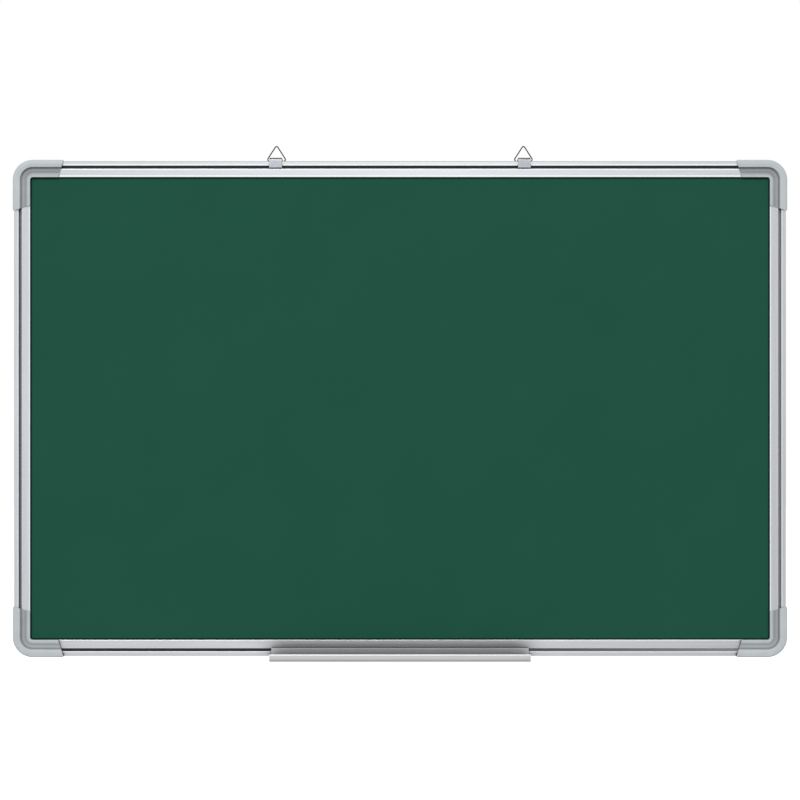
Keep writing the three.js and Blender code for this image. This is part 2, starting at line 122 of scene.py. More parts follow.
# Turns a loop of edges about an axis, and returns the new loop
def turned(mesh, edges, centre, axis, angle, steps):
    verts = list(dict.fromkeys(vert for edge in edges for vert in edge.verts))
    made = bmesh.ops.spin(mesh, geom=verts + edges, cent=centre, axis=axis, dvec=(0, 0, 0),
                          angle=angle, steps=steps, use_merge=False, use_duplicate=False)
    return kept(made["geom_last"], bmesh.types.BMEdge)


def cylinder(radius, start, end, sides=32):
    mesh = bmesh.new()
    bmesh.ops.create_cone(mesh, cap_ends=True, segments=sides, radius1=radius, radius2=radius,
                          depth=end - start)
    bmesh.ops.translate(mesh, verts=mesh.verts, vec=(0, 0, (start + end) / 2))
    return mesh


def moved(mesh, matrix):
    bmesh.ops.transform(mesh, matrix=matrix, verts=mesh.verts)
    bmesh.ops.recalc_face_normals(mesh, faces=mesh.faces)
    return mesh


def asObject(mesh, name):
    data = bpy.data.meshes.new(name)
    mesh.to_mesh(data)
    mesh.free()
    made = bpy.data.objects.new(name, data)
    bpy.context.scene.collection.objects.link(made)
    return made


# Cuts the cutters out of a mesh, or joins them to it
def carve(mesh, cutters, operation="DIFFERENCE"):
    bmesh.ops.recalc_face_normals(mesh, faces=mesh.faces)
    blank = asObject(mesh, "blank")
    tools = []
    for cutter in cutters:
        bmesh.ops.recalc_face_normals(cutter, faces=cutter.faces)
        tools.append(asObject(cutter, "cutter"))
        cut = blank.modifiers.new("cut", "BOOLEAN")
        cut.solver = "EXACT"
        cut.operation = operation
        cut.object = tools[-1]
    carved = bmesh.new()
    carved.from_object(blank, bpy.context.evaluated_depsgraph_get())
    for used in [blank, *tools]:
        data = used.data
        bpy.data.objects.remove(used)
        bpy.data.meshes.remove(data)
    return carved


# Puts a finished mesh in its place as a piece, with its finishes and what it rides on and replaces.
# paint says by name which of the finishes a face takes.
def addPiece(name, mesh, place, body, nodes, finishes, paint=None, sharpAbove=34):
    mesh = mesh.copy()
    names = list(finishes)
    bmesh.ops.remove_doubles(mesh, verts=mesh.verts, dist=1e-4)
    bmesh.ops.recalc_face_normals(mesh, faces=mesh.faces)
    for face in mesh.faces:
        face.smooth = True
        if paint:
            face.material_index = names.index(paint(face.calc_center_median(), face.normal))
    for edge in mesh.edges:
        edge.smooth = edge.calc_face_angle(0) < math.radians(sharpAbove)
    bmesh.ops.transform(mesh, matrix=place, verts=mesh.verts)
    piece = asObject(mesh, name)
    for finish in finishes.values():
        piece.data.materials.append(finish)
    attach(piece, body)
    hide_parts(*nodes)
    return piece


# Keeps the shading of the broad faces flat beside the small rounds between them
def keepFlat(piece):
    even = piece.modifiers.new("flat faces", "WEIGHTED_NORMAL")
    even.keep_sharp = True


def linearColour(text):
    parts = [int(text[i:i + 2], 16) / 255 for i in (1, 3, 5)]
    return [*(c / 12.92 if c <= 0.04045 else ((c + 0.055) / 1.055) ** 2.4 for c in parts), 1]


# Adds one node with its properties, its input values and its links, each from (node, output)
def addNode(tree, kind, values=None, links=None, **properties):
    node = tree.nodes.new("ShaderNode" + kind)
    for key, value in properties.items():
        setattr(node, key, value)
    for key, value in (values or {}).items():
        node.inputs[key].default_value = value
    for key, (source, output) in (links or {}).items():
        tree.links.new(source.outputs[output], node.inputs[key])
    return node


def setStops(ramp, stops):
    elements = ramp.color_ramp.elements
    for i, (at, colour) in enumerate(stops):
        stop = elements[i] if i < 2 else elements.new(at)
        stop.position = at
        stop.color = linearColour(colour)


def newFinish(name, values):
    finish = bpy.data.materials.new(name)
    finish.use_nodes = True
    shader = finish.node_tree.nodes["Principled BSDF"]
    for key, value in values.items():
        shader.inputs[key].default_value = value
    return finish, finish.node_tree, shader


# Two patterns on Object coordinates, coarse and fine, by their sizes in mm and their shares, drive a
# ramp of colours and a fine bump. stretch makes both longer along an axis.
def patterned(name, values, colours, coarse, fine, share=0.5, bump=0.02, stretch=(1, 1, 1), spread=0.18):
    finish, tree, shader = newFinish(name, values)
    place = addNode(tree, "TexCoord")
    laid = addNode(tree, "Mapping", {"Scale": [1 / s for s in stretch]}, {"Vector": (place, "Object")})
    broad = addNode(tree, "TexNoise", {"Scale": 1 / (coarse * mm), "Detail": 2}, {"Vector": (laid, 0)})
    close = addNode(tree, "TexNoise", {"Scale": 1 / (fine * mm), "Detail": 3}, {"Vector": (laid, 0)})
    part = addNode(tree, "Math", {1: share}, {0: (close, 0)}, operation="MULTIPLY")
    both = addNode(tree, "Math", {1: 1 - share}, {0: (broad, 0), 2: (part, 0)}, operation="MULTIPLY_ADD")
    ramp = addNode(tree, "ValToRGB", None, {"Fac": (both, 0)})
    setStops(ramp, zip((0.5 - spread, 0.5 + spread), colours))
    tree.links.new(ramp.outputs[0], shader.inputs["Base Color"])
    relief = addNode(tree, "Bump", {"Strength": 0.6, "Distance": bump * mm}, {"Height": (close, 0)})
    tree.links.new(relief.outputs[0], shader.inputs["Normal"])
    return finish


# Multiplies a finish's own colour by a ramp of tones from 0 to 1, in full or by the share that is given
def shadedBy(finish, source, stops, share=None):
    tree = finish.node_tree
    colour = tree.nodes["Principled BSDF"].inputs["Base Color"]
    ramp = addNode(tree, "ValToRGB", None, {"Fac": (source, 0)})
    setStops(ramp, stops)
    mix = addNode(tree, "Mix", {0: 1}, {7: (ramp, 0)}, data_type="RGBA", blend_type="MULTIPLY")
    if share:
        tree.links.new(share.outputs["Fac"], mix.inputs[0])
    tree.links.new(colour.links[0].from_socket, mix.inputs[6])
    tree.links.new(mix.outputs[2], colour)


# Paints shade into a finish's colour where another piece or a fold of its own closes over it, within a reach
# in mm
def paintShadeClose(finish, reach, stops):
    close = addNode(finish.node_tree, "AmbientOcclusion", {"Distance": reach * mm}, samples=8)
    shadedBy(finish, close, stops)


# Paints light and shade along a finish's length: tones at the low end, a little past the middle and at the
# high end
def paintLightAlong(finish, axis, half, tones, middle=0.55):
    tree = finish.node_tree
    parts = addNode(tree, "SeparateXYZ", None, {0: (addNode(tree, "TexCoord"), "Object")})
    span = {"From Min": -half * mm, "From Max": half * mm}
    share = addNode(tree, "MapRange", span, {"Value": (parts, axis)})
    shadedBy(finish, share, zip((0, middle, 1), tones))


# Matt chalk enamel, rolled on steel and baked: even and dull, with a faint grain that holds the chalk
enamel = patterned("chalk enamel", {"Roughness": 0.75, "Specular IOR Level": 0.06},
                   ("#1e5040", "#205242"), coarse=90, fine=1.6, share=0.45, bump=0.05)
# Painted shade: it is darker in a thin line along the flange and the caps, which stand over it
paintShadeClose(enamel, 2, ((0.88, "#307870"), (0.95, "#ffffff")))

# Natural anodised aluminium, extruded: satin silver with fine die lines along each length. Painted light
# sets each length's tone by its side of the board and varies along it, mostly darker towards its ends. The
# groove's inside is rough, and painted shade makes it much darker, though paler towards the bottom rail's
# right end.
extrusion = {"Metallic": 0.8, "Roughness": 0.34}
dullInside = {"Metallic": 0.5, "Roughness": 0.55}
lengthways = {"x": (60, 1, 1), "z": (1, 1, 60)}
lines = {"coarse": 14, "fine": 0.9, "share": 0.6}
sameAlong = ("#ffffff", "#ffffff", "#ffffff")
railColoursAndPaintedLight = {             # of the face and the groove's inside: from dark to light, then along the length
    "top": ("x", ("#c9ccd1", "#d4d7dc"), ("#dfdfdf", "#ffffff", "#e4e4e4"),
            ("#313437", "#3d4043"), sameAlong),
    "bottom": ("x", ("#b7b8bc", "#c2c3c7"), ("#f1f1f1", "#ffffff", "#e2e4e4"),
               ("#b2b4b6", "#bcbec0"), ("#585858", "#5c5c5c", "#ffffff")),
    "left": ("z", ("#b6b9bd", "#c1c4c8"), ("#f0f0f0", "#ffffff", "#f7f7f7"),
             ("#63676a", "#707477"), sameAlong),
    "right": ("z", ("#b0b2b5", "#bbbdc0"), ("#ededed", "#fcfcfc", "#ffffff"),
              ("#707477", "#7e8285"), sameAlong),
}
railFinish = {}
for side, (axis, face, facePaintedLight, inside, insidePaintedLight) in railColoursAndPaintedLight.items():
    half = halfWidth if axis == "x" else halfHeight
    railFinish[side] = [
        patterned(f"anodised {side} rail", extrusion, face, bump=0.01, stretch=lengthways[axis], **lines),
        patterned(f"dull {side} groove", dullInside, inside, bump=0.02, stretch=lengthways[axis], **lines),
    ]
    for finish, tones in zip(railFinish[side], (facePaintedLight, insidePaintedLight)):
        paintLightAlong(finish, axis.upper(), half, tones)
# Painted shade on the bottom rail close to the tray, from the darkest corner out to the open
shadeReach = 30
trayShadeTones = ((0.3, "#4a4a4a"), (0.5, "#666666"), (0.7, "#787878"), (0.85, "#d4d4d4"), (0.97, "#ffffff"))
paintShadeClose(railFinish["bottom"][0], shadeReach, trayShadeTones)
# The rounded edges and the strips beside them take a painted highlight, brighter than the faces, with
# painted shade where other pieces close over them, strongest on the bottom rail over the tray
besideShadeTones = ((0.45, "#606060"), (0.8, "#ffffff"))
flangeShadeTones = ((0.3, "#4a4a4a"), (0.5, "#666666"), (0.7, "#787878"), (0.92, "#acacac"), (0.98, "#ffffff"))
edgeHighlights = {
    "rails": (("#e6e8eb", "#f0f2f5"), besideShadeTones),
    "bottom flange": (("#cacccf", "#d3d5d8"), flangeShadeTones),
    "tray": (("#d4d6d9", "#dee0e3"), besideShadeTones),
}
paintedHighlight = {}
for part, (colours, tones) in edgeHighlights.items():
    paintedHighlight[part] = patterned(f"burnished edge of the {part}", {"Metallic": 0.25, "Roughness": 0.35},
                                colours, bump=0.01, **lines)
    paintShadeClose(paintedHighlight[part], shadeReach, tones)
# Painted shade on the upper edge of the top rail, which is also rougher and less metallic than its face
topEdgeShade = patterned("dusty top edge", {"Metallic": 0.2, "Roughness": 0.6}, ("#a9abad", "#b5b7b9"), bump=0.02,
                  **lines)
# The tray is of a greyer and duller batch, with painted shade in its corners
trayFinish = patterned("anodised tray", {"Metallic": 0.25, "Roughness": 0.45}, ("#bcbcbc", "#c8c8c8"),
                       bump=0.01, stretch=lengthways["x"], **lines)
paintShadeClose(trayFinish, shadeReach, ((0.46, "#505050"), (0.93, "#ffffff")))
# Aluminium where the saw has cut it: brighter, with a coarse grain
sawn = patterned("sawn aluminium", {"Metallic": 0.9, "Roughness": 0.42}, ("#c2c4c7", "#e0e2e5"),
                 coarse=3, fine=0.4, bump=0.03)
# Light grey ABS, injection moulded: satin, with the mould's very fine spark grain
moulded = {"Roughness": 0.42, "Specular IOR Level": 0.4}
mouldedColours = ("#bcc2c5", "#c5cbce")
grain = {"coarse": 12, "fine": 0.7, "share": 0.4, "bump": 0.02}
mouldedGrey = patterned("satin moulded plastic", moulded, mouldedColours, **grain)
# The cap's face: a bead, then a step, a dull grey band and a lighter ledge, toned by the distance across
# the arm that the piece carries as an attribute, with painted shade in the step, the band's hollow and the
# inner round, and a painted highlight on the ledge. The second adds painted shade, most on the upper arms.
mouldedFace = patterned("banded moulded face", moulded, mouldedColours, **grain)
faceTonesAndShade = ((7.0, "#ffffff"), (7.6, "#d4d4d4"), (8.8, "#c0c0c0"), (9.9, "#d3d3d3"), (11.2, "#dfdfdf"),
             (13.4, "#c5c5c5"), (14.5, "#d8d8d8"), (15.7, "#f5f5f5"), (16.9, "#efefef"), (17.9, "#ffffff"),
             (18.6, "#ffffff"), (18.8, "#8c8c8c"))
shadeFromAboveTones = ((7.0, "#f2f2f2"), (7.6, "#d6d6d6"), (8.7, "#929292"), (9.9, "#d4d4d4"), (13.4, "#dadada"),
                 (14.5, "#d0d0d0"), (15.7, "#dcdcdc"), (16.9, "#fafafa"))
tree = mouldedFace.node_tree
across = addNode(tree, "Attribute", attribute_name="across")
shadeFromAbove = addNode(tree, "Attribute", attribute_name="shadeFromAbove")
share = addNode(tree, "MapRange", {"From Max": board["railWidth"]}, {"Value": (across, "Fac")})
shadedBy(mouldedFace, share, [(at / board["railWidth"], tone) for at, tone in faceTonesAndShade])
shadedBy(mouldedFace, share, [(at / board["railWidth"], tone) for at, tone in shadeFromAboveTones], shadeFromAbove)
# Sheet steel with a dull zinc plate, bent cold: grey and slightly blotched, with a painted highlight over
# the bends and painted shade on the arch
zinc = {"Metallic": 0.75, "Roughness": 0.4}
zincSheet = patterned("dull zinc plated strip", zinc, ("#85888e", "#93969c"), coarse=4, fine=0.5, bump=0.01)
zincBendHighlight = patterned("zinc plated bend with a painted highlight", zinc, ("#d6d9e0", "#e0e3ea"), coarse=4, fine=0.5, bump=0.01)
zincArchShade = patterned("zinc plated arch in painted shade", zinc, ("#3e4146", "#4e5157"), coarse=4, fine=0.5, bump=0.01)
# Bright zinc on the screws
zincScrew = patterned("bright zinc plated screw", {"Metallic": 0.95, "Roughness": 0.28},
                      ("#b0b3b7", "#ccd0d4"), coarse=2, fine=0.4, bump=0.01)
# Drawn steel wire with a dark zinc plate, rubbed lighter in places
darkWire = patterned("dark zinc plated wire", {"Metallic": 0.4, "Roughness": 0.45},
                     ("#141516", "#242628"), coarse=5, fine=0.5, bump=0.01)
print("finishes made")


rail_with_painted_light = {
    "ends": 23.5,            # from the corner to the sawn end
    "section": [             # its points in a straight line part off the strips of the front with a painted highlight
        [0, 5.2, 0.4], [8.9, 5.2], [8.9, 1.7, 0.4], [16.4, 1.7, 0.4], [16.4, 3.2, 0.4], [10.1, 3.2],
        [10.1, 13.3], [19.2, 13.3], [19.2, 14.8, 1.1], [17.4, 14.8], [16.6, 14.8], [10.5, 14.8],
        [8.9, 14.8, 0.45], [8.9, 10.7], [4.1, 10.7], [4.1, 13.2], [5.5, 13.2], [5.5, 14.8, 0.45],
        [4.7, 14.8], [4.3, 14.8], [3.5, 14.8], [0, 14.8, 1.0],
    ],
    "chamber": [[1.2, 6.4], [7.7, 6.4], [7.7, 9.5], [2.9, 9.5], [2.9, 13.6], [1.2, 13.6]],
    "hole": 1.7,             # radius
    "holeSpan": (1, 7.5),    # from the back, through the chamber's back wall
    # Which faces of the section take which finish, by their u or v
    "outerTo": 0.97,
    "strips": [(4.3, 4.7)],
    "topStrips": [(3.5, 4.7), (8.9, 10.5), (16.6, 17.4)],
    "innerFrom": 17.4,
    "innerRound": (18.7, 13.35),
    "grooveEdges": (5, 10, 13.7),
    "groove": (4, 9, 10.6, 14.3),
}


# The finish of a rail's face: its sawn ends, its outer edge, the flange's round in painted shade, the strips
# and edges with a painted highlight, the groove's inside, and the rest
def railPainter(strips):
    def paint(centre, normal):
        u, v = centre.x, centre.y
        isFront = normal.y > 0.98
        if abs(normal.z) > 0.9:
            return "sawn"
        if u < rail_with_painted_light["outerTo"]:
            return "outer"
        if u > rail_with_painted_light["innerRound"][0] and v > rail_with_painted_light["innerRound"][1]:
            return "groove"
        if isFront and u > rail_with_painted_light["innerFrom"]:
            return "inner"
        if isFront and any(low < u < high for low, high in strips):
            return "edge"
        low, high, front = rail_with_painted_light["grooveEdges"]
        if low < u < high and v > front and normal.y > 0.05 and not isFront:
            return "edge"
        low, high, back, front = rail_with_painted_light["groove"]
        return "groove" if low < u < high and back < v < front else "face"
    return paint


for side, place in sidePlace.items():
    half = (halfWidth if side in ("top", "bottom") else halfHeight) - rail_with_painted_light["ends"]
    face, groove = railFinish[side]
    # Painted light: a highlight on the strips and edges, and shade in the groove, on the flange's round and
    # on the top rail's outer edge
    finishes = {
        "face": face,
        "groove": groove,
        "sawn": sawn,
        "edge": paintedHighlight["rails"],
        "outer": topEdgeShade if side == "top" else face,
        "inner": paintedHighlight["bottom flange" if side == "bottom" else "rails"],
    }
    length = bar(rail_with_painted_light["section"], -half, half, rail_with_painted_light["chamber"])
    holes = []
    for end in (-1, 1):
        along = end * (half + rail_with_painted_light["ends"] - board["screwAt"])
        spot = Matrix.Translation((board["screwAcross"], 0, along)) @ Matrix.Rotation(-math.pi / 2, 4, "X")
        holes.append(moved(cylinder(rail_with_painted_light["hole"], *rail_with_painted_light["holeSpan"]), spot))
    paint = railPainter(rail_with_painted_light["topStrips" if side == "top" else "strips"])
    keepFlat(addPiece(f"frame_rail_{side}", carve(length, holes), place, "board", [f"rail_{side}"],
                      finishes, paint))
print("rails made")


cap = {
    "section": [
        [-1.4, 0, 1.2], [17.8, 0, 1.2], [17.8, 3.2], [10.2, 3.2], [10.2, 13.3], [19.2, 13.3],
        [19.2, 16.7, 0.8], [15.6, 16.7, 3], [13.9, 16.05, 3], [9.7, 16.05, 0.3], [8.6, 15.5, 0.3],
        [7.7, 15.5, 0.3], [7.2, 17.5, 0.9], [3.3, 17.5, 3], [-1.4, 16.8, 2.0],
    ],
    "outer": -1.4,
    "bendSteps": 18,
    "reach": 58,             # of each arm at its outer edge
    "innerReach": 51.5,
    "endRound": 1.3,
    "endSteps": 7,
    "endBreak": 0.35,
    "brokenFrom": 13.9,      # only the edges of the end that lie in front of this are broken
    "bandedFrom": 15.2,      # the front faces that the tones across the arm are for
    "railRoom": [
        [-0.3, 4.9], [8.6, 4.9], [8.6, 1.4], [16.7, 1.4], [16.7, 3.4], [19.5, 3.4], [19.5, 15.1],
        [8.6, 15.1], [8.6, 13.2], [5.8, 13.2], [5.8, 15.1], [-0.3, 15.1],
    ],
    "roomStart": 23.2,
    "pocket": [10.2, 3.2, 13.3],    # for the panel: how far in it starts, and its back and front
    "tongue": [[1.5, 6.7, 0.5], [7.4, 6.7, 0.5], [7.4, 9.2, 0.5], [1.5, 9.2, 0.5]],
    "tongueEnd": 45.5,
    "headHole": 3.5,         # radius, as the shank's is
    "headDepth": 2.4,
    "shankHole": 1.7,
    "shankDepth": 9.5,
    "over": 1,               # by which a cutting shape passes what it cuts
}


# Trims a closed or open mesh by a plane, and closes it there
def trim(mesh, point, normal):
    everything = mesh.verts[:] + mesh.edges[:] + mesh.faces[:]
    cut = bmesh.ops.bisect_plane(mesh, geom=everything, dist=1e-5, plane_co=point, plane_no=normal,
                                 clear_outer=True)["geom_cut"]
    bmesh.ops.edgeloop_fill(mesh, edges=kept(cut, bmesh.types.BMEdge))


def capBlank():
    bend, far = board["bendCentre"], cap["reach"] + cap["over"]
    mesh = sectionFace(cap["section"])
    bmesh.ops.delete(mesh, geom=mesh.faces[:], context="FACES_ONLY")
    upright = Matrix(((1, 0, 0, 0), (0, 0, 1, far), (0, 1, 0, 0), (0, 0, 0, 1)))
    bmesh.ops.transform(mesh, matrix=upright, verts=mesh.verts)
    loop = drawn(mesh, mesh.edges[:], (0, bend - far, 0))
    loop = turned(mesh, loop, (bend, bend, 0), (0, 0, 1), math.pi / 2, cap["bendSteps"])
    drawn(mesh, loop, (far - bend, 0, 0))

    # Each arm ends on a slant, with a round at its outer corner cut by planes that touch an arc
    corner = Vector((cap["outer"], cap["reach"], 0))
    slant = Vector((cap["reach"] - cap["innerReach"], board["railWidth"] - cap["outer"], 0)).normalized()
    middle = Vector((cap["outer"] + cap["endRound"], 0, 0))
    middle.y = (slant.dot(corner) - cap["endRound"] - slant.x * middle.x) / slant.y
    sideways = Vector((-1, 0, 0))
    swap = Matrix(((0, 1, 0), (1, 0, 0), (0, 0, 1)))
    for turn in (Matrix.Identity(3), swap):
        trim(mesh, turn @ corner, turn @ slant)
        for i in range(1, cap["endSteps"]):
            normal = sideways.slerp(slant, i / cap["endSteps"])
            trim(mesh, turn @ (middle + cap["endRound"] * normal), turn @ normal)
    bmesh.ops.recalc_face_normals(mesh, faces=mesh.faces)

    # The front edge of each arm's end is broken
    def isEnd(face):
        centre, normal = face.calc_center_median(), face.normal
        isUpright = abs(normal.z) < 0.01
        facesAlong = max(normal.x, normal.y) > 0.2
        return isUpright and facesAlong and max(centre.x, centre.y) > cap["innerReach"] - cap["over"]
    rim = [edge for edge in mesh.edges if len(edge.link_faces) == 2
           and sum(isEnd(face) for face in edge.link_faces) == 1
           and min(vert.co.z for vert in edge.verts) > cap["brokenFrom"]]
    bmesh.ops.bevel(mesh, geom=rim, offset=cap["endBreak"], offset_type="OFFSET", affect="EDGES",
                    segments=2, profile=0.5, material=-1, clamp_overlap=True)
    return mesh


# The blank is hollowed for the panel and the rails, gets its tongues and is then drilled from the back
def capMesh():
    over = cap["over"]
    far = cap["reach"] + 6 * over
    low, back, front = cap["pocket"]
    pocket = bmesh.new()
    bmesh.ops.create_cube(pocket, size=1)
    middle = ((low + far) / 2, (low + far) / 2, (back + front) / 2)
    size = Matrix.Diagonal((far - low, far - low, front - back, 1))
    cutters = [moved(pocket, Matrix.Translation(middle) @ size)]
    tongues = []
    alongQ = Matrix(((1, 0, 0, 0), (0, 0, 1, 0), (0, 1, 0, 0), (0, 0, 0, 1)))
    alongP = Matrix(((0, 0, 1, 0), (1, 0, 0, 0), (0, 1, 0, 0), (0, 0, 0, 1)))
    for turn in (alongQ, alongP):
        cutters.append(moved(bar(cap["railRoom"], cap["roomStart"], far), turn))
        tongue = bar(cap["tongue"], cap["roomStart"] - over, cap["tongueEnd"], segments=2)
        tongues.append(moved(tongue, turn))
    holes = []
    for spot in ((board["screwAcross"], board["screwAt"], 0), (board["screwAt"], board["screwAcross"], 0)):
        place = Matrix.Translation(spot)
        holes.append(moved(cylinder(cap["headHole"], -over, cap["headDepth"]), place))
        holes.append(moved(cylinder(cap["shankHole"], over, cap["shankDepth"]), place))
    mesh = carve(capBlank(), cutters)
    mesh = carve(mesh, tongues, "UNION")
    return carve(mesh, holes)


# How far a point lies in from the cap's outer edge, round its bend, and which way is inwards there
def acrossArm(point):
    bend = board["bendCentre"]
    if point.x < bend and point.y < bend:
        inwards = Vector((bend - point.x, bend - point.y, 0))
        return bend - inwards.length, inwards.normalized()
    return (point.x, Vector((1, 0, 0))) if point.x < point.y else (point.y, Vector((0, 1, 0)))


def capPaint(centre, normal):
    return "banded" if centre.z > cap["bandedFrom"] and normal.z > 0.1 else "plain"


capShape = capMesh()
acrossLayer = capShape.verts.layers.float.new("across")
shadeFromAboveLayer = capShape.verts.layers.float.new("shadeFromAbove")
# Each arm carries how far a point lies across it, and its share of the painted shade from above
for corner, place in cornerPlace.items():
    for vert in capShape.verts:
        vert[acrossLayer], inwards = acrossArm(vert.co)
        vert[shadeFromAboveLayer] = (1 - (place.to_3x3() @ inwards).normalized().z) / 2
    keepFlat(addPiece(f"moulded_cap_{corner}", capShape, place, "board", [f"corner_cap_{corner}"],
                      {"plain": mouldedGrey, "banded": mouldedFace}, capPaint))
print("corner caps made")


screw = {
    "headRadius": 3.2,
    "headTop": 0.5,          # in front of the wall, as are the next three
    "headSeat": 2.4,
    "shankEnd": 7.6,
    "tip": 9.2,
    "shankRadius": 1.4,
    "slotLength": 3.5,
    "slotWidth": 0.75,
    "slotDepth": 1.15,
    "taper": (0.3, 0.7),     # a slot's length and width at its bottom, as shares
    "domeSteps": 9,
    "sides": 32,
}


# A pan head with a cross recess on a pointed shank, spun about its own axis
def screwMesh():
    rise = screw["headSeat"] - screw["headTop"]
    angles = [math.pi / 2 * i / screw["domeSteps"] for i in range(screw["domeSteps"] + 1)]
    dome = [(screw["headRadius"] * math.sin(a), screw["headSeat"] - rise * math.cos(a)) for a in angles]
    line = [*dome, (screw["shankRadius"], screw["headSeat"]), (screw["shankRadius"], screw["shankEnd"]),
            (0, screw["tip"])]
    mesh = bmesh.new()
    verts = [mesh.verts.new((radius, 0, v)) for radius, v in line]
    edges = [mesh.edges.new(pair) for pair in zip(verts, verts[1:])]
    bmesh.ops.spin(mesh, geom=verts + edges, cent=(0, 0, 0), axis=(0, 0, 1), dvec=(0, 0, 0),
                   angle=2 * math.pi, steps=screw["sides"], use_merge=True, use_duplicate=False)
    bmesh.ops.remove_doubles(mesh, verts=mesh.verts, dist=1e-4)
    slots = []
    for angle in (0, math.pi / 2):
        slot = bmesh.new()
        bmesh.ops.create_cube(slot, size=1)
        for vert in slot.verts:
            if vert.co.z > 0:
                vert.co.x *= screw["taper"][0]
                vert.co.y *= screw["taper"][1]
        size = Matrix.Diagonal((screw["slotLength"], screw["slotWidth"], 2 * screw["slotDepth"], 1))
        place = Matrix.Translation((0, 0, screw["headTop"])) @ Matrix.Rotation(angle, 4, "Z")
        slots.append(moved(slot, place @ size))
    return carve(mesh, slots)


screwShape = screwMesh()
screwArms = {
    "top_left": ("side", "top"), "top_right": ("top", "side"),
    "bottom_left": ("bottom", "side"), "bottom_right": ("side", "bottom"),
}
for corner, arms in screwArms.items():
    spots = ((board["screwAt"], board["screwAcross"]), (board["screwAcross"], board["screwAt"]))
    for i, (arm, spot) in enumerate(zip(arms, spots)):
        # Driven home by hand, so the recesses stand at different angles
        turn = Matrix.Rotation(math.radians(23 + 31 * i + 17 * len(corner)), 4, "Z")
        place = cornerPlace[corner] @ Matrix.Translation((*spot, 0)) @ turn
        addPiece(f"cap_screw_{corner}_{arm}", screwShape, place, "board", [f"screw_{corner}_{arm}"],
                 {"all over": zincScrew})
print("screws made")


clip = {
    "at": 145,               # from the middle of the board
    "sheet": 0.8,            # thickness
    # The sheet's middle: the hook, the front plate, which leans out at its foot, the arch and the leg behind
    "line": [
        [4.4, 12.5, 0], [7.4, 12.5, 0.6], [7.4, 16.5, 0.8], [-2.05, 15.5, 1.3],
        [-4.6, 4.3, 1.3], [-1.25, 4.3, 0], [-1.1, 4.3, 0], [-0.5, 4.3, 0],
    ],
    "bendSteps": 6,
    "eyeCentre": (-0.5, 2.9, 0),
    "eyeTurn": 290,
    "eyeSteps": 24,
    "frontHalf": 7.4,        # half of the sheet's width at the front plate, as the next three are elsewhere
    "archHalf": 6.9,
    "footHalf": 8.1,
    "eyeHalf": 6.2,
    "frontFrom": 10,
    "legSpan": (4.2, 4.6),   # the back and front of the leg behind the rail
    "archTop": -4.6,
    "archFoot": -1.2,
    # Faces in front of paleFrom take a painted highlight where they lean so much, over or under the line at
    # foot.
    # Those above darkTo take painted shade.
    "paleFrom": 13,
    "foot": 6,
    "topLean": (0.15, 0.35),
    "footLean": (0.15, 0.9),
    "darkTo": -0.9,
    "softEdge": 0.14,
    "softAbove": 50,         # degrees between two faces
}


# Half of the sheet's width where it lies at u and v
def clipHalf(u, v):
    back, front = clip["legSpan"]
    if v > clip["frontFrom"]:
        return clip["frontHalf"]
    if v < back or v < front and u > clip["archFoot"]:
        return clip["eyeHalf"]
    share = max(0, (u - clip["archTop"]) / (clip["archFoot"] - clip["archTop"]))
    return clip["archHalf"] + share * (clip["footHalf"] - clip["archHalf"])


# One sheet without thickness, drawn wide along its line, bent, rolled to its eye and cut to its widths
def clipMesh():
    mesh = bmesh.new()
    line = clip["line"]
    verts = [mesh.verts.new((u, v, -1)) for u, v, _ in line]
    edges = [mesh.edges.new(pair) for pair in zip(verts, verts[1:])]
    drawn(mesh, edges, (0, 0, 2))
    for i, (u, v, radius) in enumerate(line):
        if not radius:
            continue
        here = Vector((u, v))
        back, on = Vector(line[i - 1][:2]) - here, Vector(line[i + 1][:2]) - here
        reach = radius / math.tan(back.angle(on) / 2)
        bend = [edge for edge in mesh.edges
                if all((vert.co.xy - here).length < 1e-4 for vert in edge.verts)]
        bmesh.ops.bevel(mesh, geom=bend, offset=reach, offset_type="OFFSET", affect="EDGES",
                        segments=clip["bendSteps"], profile=0.5, material=-1, clamp_overlap=False)
    end = Vector(line[-1][:2])
    last = [edge for edge in mesh.edges if all((vert.co.xy - end).length < 1e-4 for vert in edge.verts)]
    turned(mesh, last, clip["eyeCentre"], (0, 0, 1), -math.radians(clip["eyeTurn"]), clip["eyeSteps"])
    for vert in mesh.verts:
        vert.co.z *= clipHalf(vert.co.x, vert.co.y)
    return mesh


def clipPaint(centre, normal):
    low, high = clip["footLean" if centre.x > clip["foot"] else "topLean"]
    if centre.y > clip["paleFrom"] and low < abs(normal.x) < high:
        return "pale"
    return "dark" if centre.x < clip["darkTo"] else "sheet"


ring = {
    "shift": 0.6,            # towards the board's middle
    "wire": 0.7,             # radius
    "sides": 16,
    "base": (-2.9, 289.0),   # y and z of the wire's middle in the eye
    "half": 7.9,             # to the middle of each lower bend
    "bend": 2.3,             # radius along the wire's middle, as tipBend is
    "bendSteps": 14,
    "tipAt": 15.7,           # from the eye up to the middle of the tip's bend
    "tipBend": 1.7,
    "tipSteps": 18,
    "gap": 0.4,              # between the wire's two ends
}


